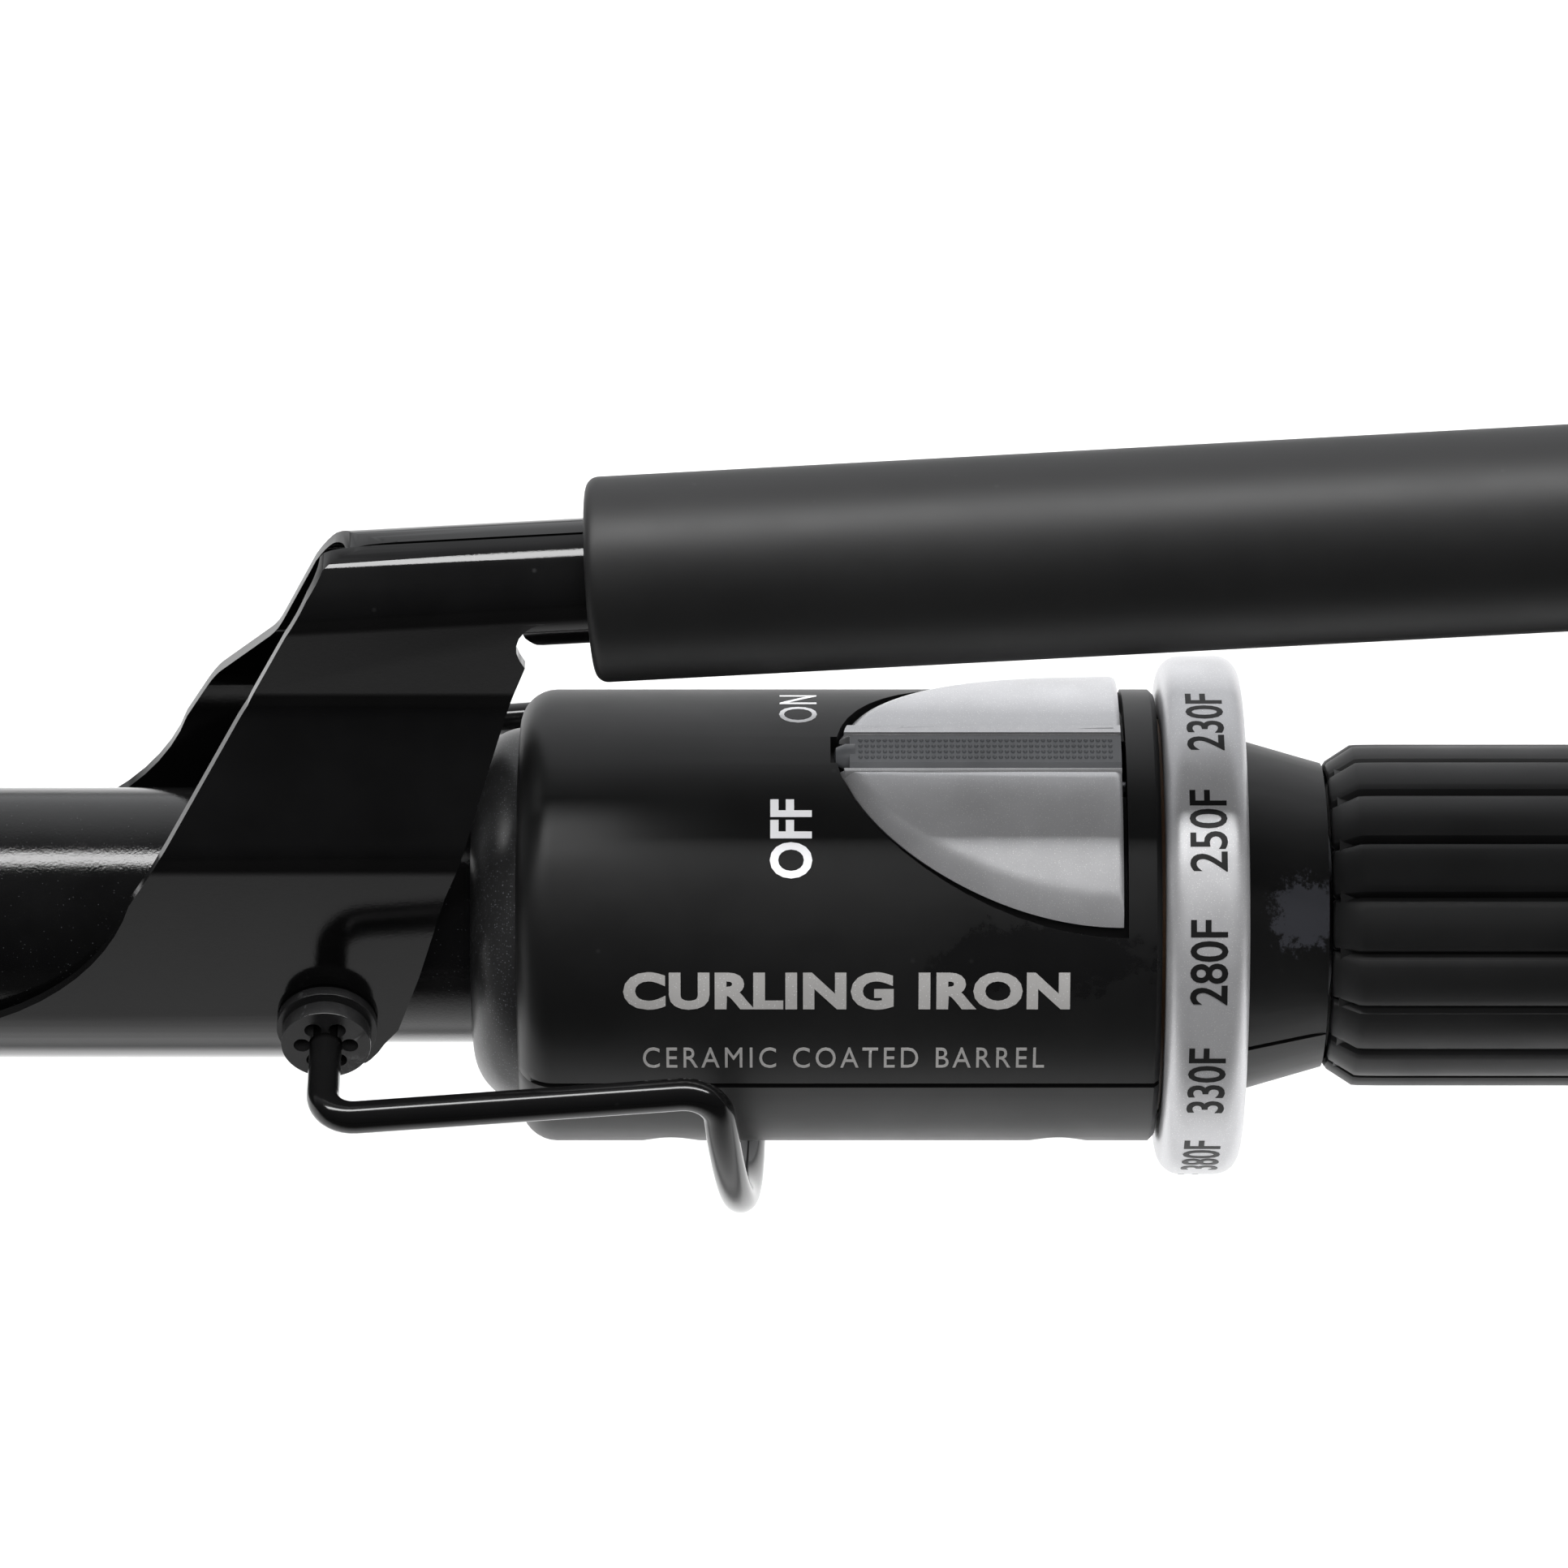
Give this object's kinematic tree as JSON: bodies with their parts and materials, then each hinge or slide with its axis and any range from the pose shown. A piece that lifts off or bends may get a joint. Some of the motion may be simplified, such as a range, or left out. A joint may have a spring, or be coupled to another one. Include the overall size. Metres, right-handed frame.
{
  "type": "curling iron",
  "caption": "Hand-held curling iron with a heated barrel, two-handled scissor clamp, folding wire stand, rocker switch, temperature ring, turning ribbed grip and cord swivel.",
  "frame": {"origin": "middle of the main grip, on the iron's axis, where a hand holds it", "axes": "+X along the iron's axis towards the cord, +Z towards the clamp handle, -Y towards the side with the switch's off wing"},
  "size_m": [0.315, 0.0442, 0.0729],
  "materials": {
    "barrel_coating": "glossy black ceramic coating with fine glitter",
    "heat_plastic": "satin heat-proof plastic",
    "heater_ceramic": "fired ceramic",
    "spreader_aluminium": "extruded",
    "glass_sleeve": "varnished woven glass sleeve",
    "sensor_glass": "amber bead",
    "bright_steel": "zinc plated",
    "bracket_steel": "plain steel",
    "screw_black": "black oxide, oiled",
    "collar_nylon": "speckled heat-proof nylon",
    "soft_touch": "soft-touch coating",
    "board_green": "solder mask",
    "module_black": "moulded",
    "lamp_lens": "translucent",
    "track_board": "phenolic board with a printed track",
    "lead_cream": "glass-braided lead",
    "lead_black": "insulated lead",
    "clamp_enamel": "glossy black enamel on sheet steel",
    "stand_enamel": "glossy black enamel on steel wire",
    "sleeve_plastic": "fine matte heat-proof plastic",
    "silver_paint": "silver metallic paint",
    "light_bar": "translucent light bar with small beads",
    "contact_brass": "sprung contact",
    "grip_rubber": "ribbed, matte",
    "gland_plastic": "moulded"
  },
  "bodies": {
    "frame": {"barrel_tube": "barrel_coating", "cool_tip": "heat_plastic", "heater_core": "heater_ceramic", "heat_spreader_upper": "spreader_aluminium", "heat_spreader_lower": "spreader_aluminium", "insulating_sleeve": "glass_sleeve", "temperature_sensor": "sensor_glass", "thermal_fuse": "bright_steel", "hinge_bracket": "bracket_steel", "pivot_screws": "screw_black", "nose_collar": "collar_nylon", "upper_shell": "soft_touch", "lower_shell": "soft_touch", "shell_screws": "bright_steel", "control_board": "board_green", "switch_module": "module_black", "indicator_lamp": "lamp_lens", "dial_track_board": "track_board", "rocker_pin": "bright_steel", "swivel_spindle": "bracket_steel", "heater_leads": "lead_cream", "supply_leads": "lead_black", "contact_carrier": "heater_ceramic", "spindle_washer": "bright_steel", "spindle_clip": "bracket_steel"},
    "clamp": {"clamp_spoon": "clamp_enamel", "tang_plug": "bracket_steel", "tang_washer": "bright_steel", "tang_screw": "bright_steel"},
    "clamp_handle": {"clamp_sleeve": "sleeve_plastic", "sleeve_cap": "sleeve_plastic"},
    "stand": {"stand_wire": "stand_enamel"},
    "rocker": {"rocker_cap": "silver_paint", "rocker_lens": "light_bar"},
    "dial": {"dial_ring": "silver_paint", "dial_wiper": "contact_brass"},
    "grip": {"grip_core": "soft_touch", "grip_rubber": "grip_rubber", "rear_cap": "soft_touch"},
    "cord_swivel": {"cord_gland": "gland_plastic", "slip_contacts": "contact_brass"}
  },
  "joints": [
    {"name": "clamp_open", "type": "hinge", "parent": "frame", "child": "clamp", "pos_m": [-0.123, 0, -0.0006], "axis": [0, -1, 0], "range_deg": [0, 28]},
    {"name": "clamp_handle_spin", "type": "hinge", "parent": "clamp", "child": "clamp_handle", "pos_m": [-0.123, 0, 0.03198], "axis": [0.9975, 0, 0.071], "continuous": true},
    {"name": "stand_fold", "type": "hinge", "parent": "frame", "child": "stand", "pos_m": [-0.123, 0, -0.0006], "axis": [0, 1, 0], "range_deg": [0, 95]},
    {"name": "rocker_tilt", "type": "hinge", "parent": "frame", "child": "rocker", "pos_m": [-0.075, 0, 0.01265], "axis": [-1, 0, 0], "range_deg": [0, 6]},
    {"name": "dial_turn", "type": "hinge", "parent": "frame", "child": "dial", "pos_m": [-0.0585, 0, 0], "axis": [-1, 0, 0], "range_deg": [0, 145]},
    {"name": "grip_spin", "type": "hinge", "parent": "frame", "child": "grip", "pos_m": [0, 0, 0], "axis": [1, 0, 0], "continuous": true},
    {"name": "cord_swivel_spin", "type": "hinge", "parent": "frame", "child": "cord_swivel", "pos_m": [0.054, 0, 0], "axis": [1, 0, 0], "continuous": true}
  ]
}
